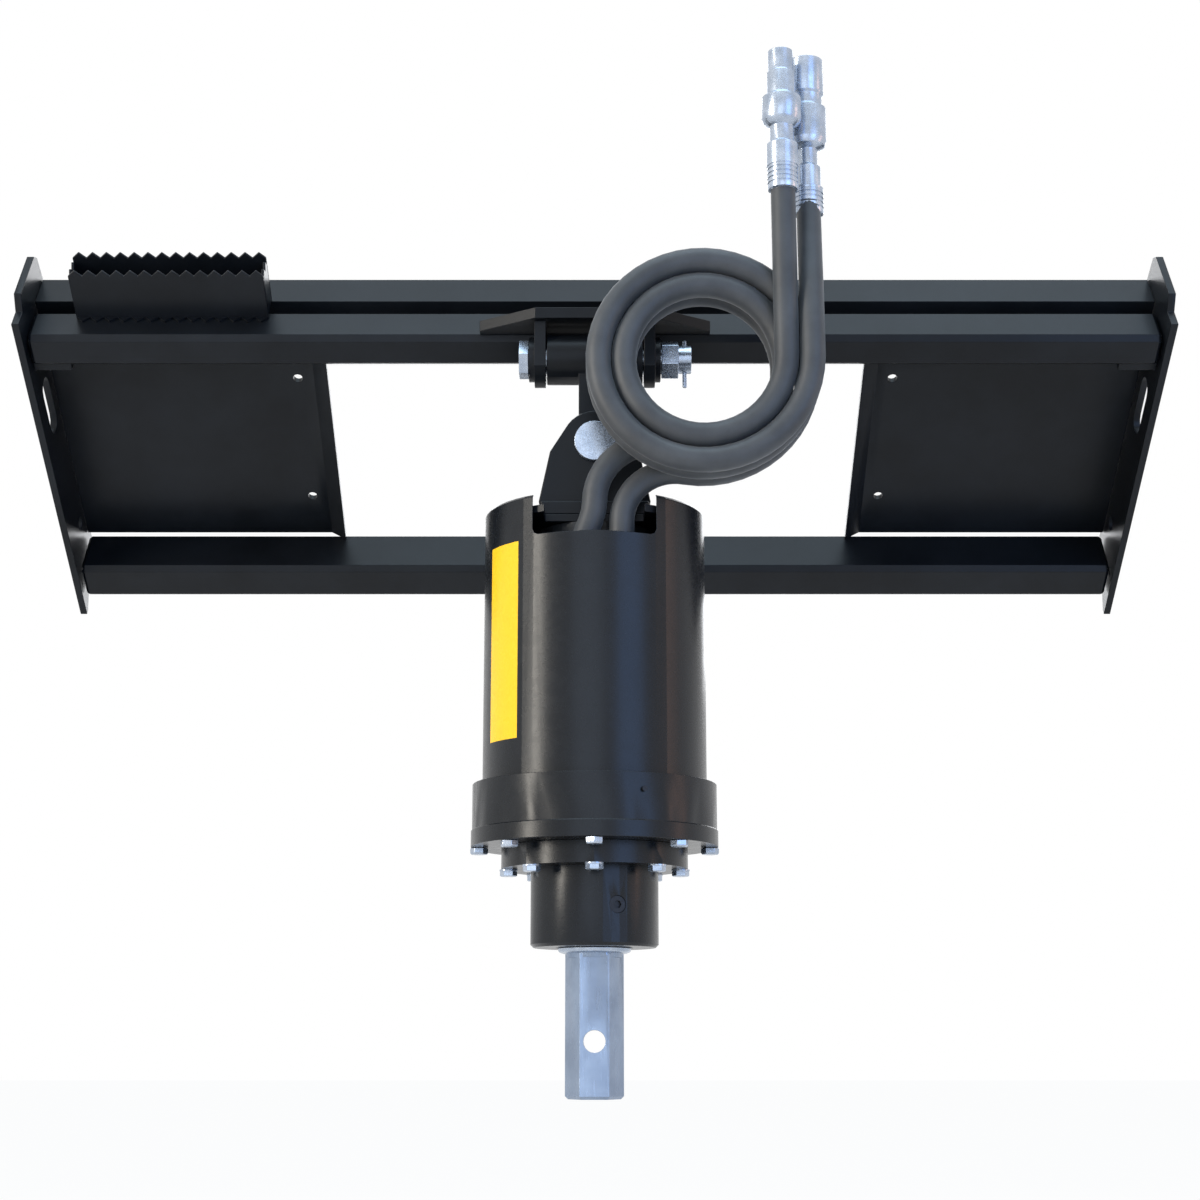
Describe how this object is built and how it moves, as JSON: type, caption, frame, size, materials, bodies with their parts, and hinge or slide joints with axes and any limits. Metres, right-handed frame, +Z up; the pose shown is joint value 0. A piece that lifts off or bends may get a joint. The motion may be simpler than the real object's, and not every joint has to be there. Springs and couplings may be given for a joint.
{
  "type": "earth auger drive",
  "caption": "Hydraulic planetary earth auger drive hung from a two-pin hitch on a skid-steer loader frame, with a hexagonal output shaft and coiled hoses.",
  "frame": {"origin": "middle of the loader-side face of the hook rail, where the loader's coupler bears", "axes": "+X along the frame, to the right seen from the front; -Y to the front, where the drive hangs; +Z up, along the hanging drive's shaft"},
  "size_m": [1.25, 0.5258, 1.0633],
  "materials": {
    "black_paint": "satin powder coat",
    "hood_paint": "smooth semi-gloss paint",
    "rubber": "matt hose cover",
    "zinc": "bright zinc plate",
    "steel": "machined",
    "iron": "cast and primed",
    "bronze": "turned bronze"
  },
  "bodies": {
    "frame": {"bottom_rail": "black_paint", "corner_tab_left": "black_paint", "corner_tab_right": "black_paint", "end_plate_left": "black_paint", "end_plate_right": "black_paint", "hitch_cotter": "zinc", "hitch_ear_left": "black_paint", "hitch_ear_right": "black_paint", "hitch_pin": "zinc", "hitch_pin_nut": "zinc", "hitch_shelf": "black_paint", "hook_rail": "black_paint", "side_panel_left": "black_paint", "side_panel_right": "black_paint", "step_back_strip": "black_paint", "step_front_strip": "black_paint", "step_left_strip": "black_paint", "step_right_strip": "black_paint", "top_front_rail": "black_paint"},
    "link": {"cross_link": "black_paint", "upper_bush": "bronze", "lower_bush": "bronze"},
    "drive": {"bearing_cover": "hood_paint", "flange_bolt_1": "zinc", "flange_bolt_2": "zinc", "flange_bolt_3": "zinc", "flange_bolt_4": "zinc", "flange_bolt_5": "zinc", "flange_bolt_6": "zinc", "flange_bolt_7": "zinc", "flange_bolt_8": "zinc", "gear_case": "hood_paint", "hood_deck": "black_paint", "hose_coil": "rubber", "hose_coupler_left": "zinc", "hose_coupler_right": "zinc", "hose_lower_left": "rubber", "hose_lower_right": "rubber", "hose_upper_left": "rubber", "hose_upper_right": "rubber", "hydraulic_motor": "iron", "lower_bearing": "steel", "motor_fitting_left": "zinc", "motor_fitting_right": "zinc", "motor_hood": "hood_paint", "oil_plug": "steel", "ring_gear": "steel", "seal_collar": "zinc", "shaft_seal": "rubber", "upper_bearing": "steel", "yoke_base": "black_paint", "yoke_pin": "zinc", "yoke_pin_clip": "zinc", "yoke_plate_back": "black_paint", "yoke_plate_front": "black_paint"},
    "output": {"output_shaft": "steel"},
    "sun": {"sun_gear": "steel"},
    "planet_1": {"planet_gear_1": "steel"},
    "planet_2": {"planet_gear_2": "steel"},
    "planet_3": {"planet_gear_3": "steel"}
  },
  "joints": [
    {"name": "fore_aft_swing", "type": "hinge", "parent": "frame", "child": "link", "pos_m": [0, -0.07801, -0.11747], "axis": [1, 0, 0], "range_deg": [-35, 35]},
    {"name": "side_swing", "type": "hinge", "parent": "link", "child": "drive", "pos_m": [0, -0.07801, -0.22147], "axis": [0, 1, 0], "range_deg": [-15, 15]},
    {"name": "output_spin", "type": "hinge", "parent": "drive", "child": "output", "pos_m": [0, -0.07801, -0.76747], "axis": [0, 0, 1], "continuous": true},
    {"name": "sun_spin", "type": "hinge", "parent": "drive", "child": "sun", "pos_m": [0, -0.07801, -0.59847], "axis": [0, 0, 1], "continuous": true},
    {"name": "planet_1_spin", "type": "hinge", "parent": "output", "child": "planet_1", "pos_m": [0, -0.02731, -0.59847], "axis": [0, 0, 1], "continuous": true},
    {"name": "planet_2_spin", "type": "hinge", "parent": "output", "child": "planet_2", "pos_m": [-0.04391, -0.10336, -0.59847], "axis": [0, 0, 1], "continuous": true},
    {"name": "planet_3_spin", "type": "hinge", "parent": "output", "child": "planet_3", "pos_m": [0.04391, -0.10336, -0.59847], "axis": [0, 0, 1], "continuous": true}
  ],
  "couplings": [
    {"joint": "sun_spin", "follows": "output_spin", "ratio": 4.3333},
    {"joint": "planet_1_spin", "follows": "output_spin", "ratio": -2.8571},
    {"joint": "planet_2_spin", "follows": "output_spin", "ratio": -2.8571},
    {"joint": "planet_3_spin", "follows": "output_spin", "ratio": -2.8571}
  ]
}
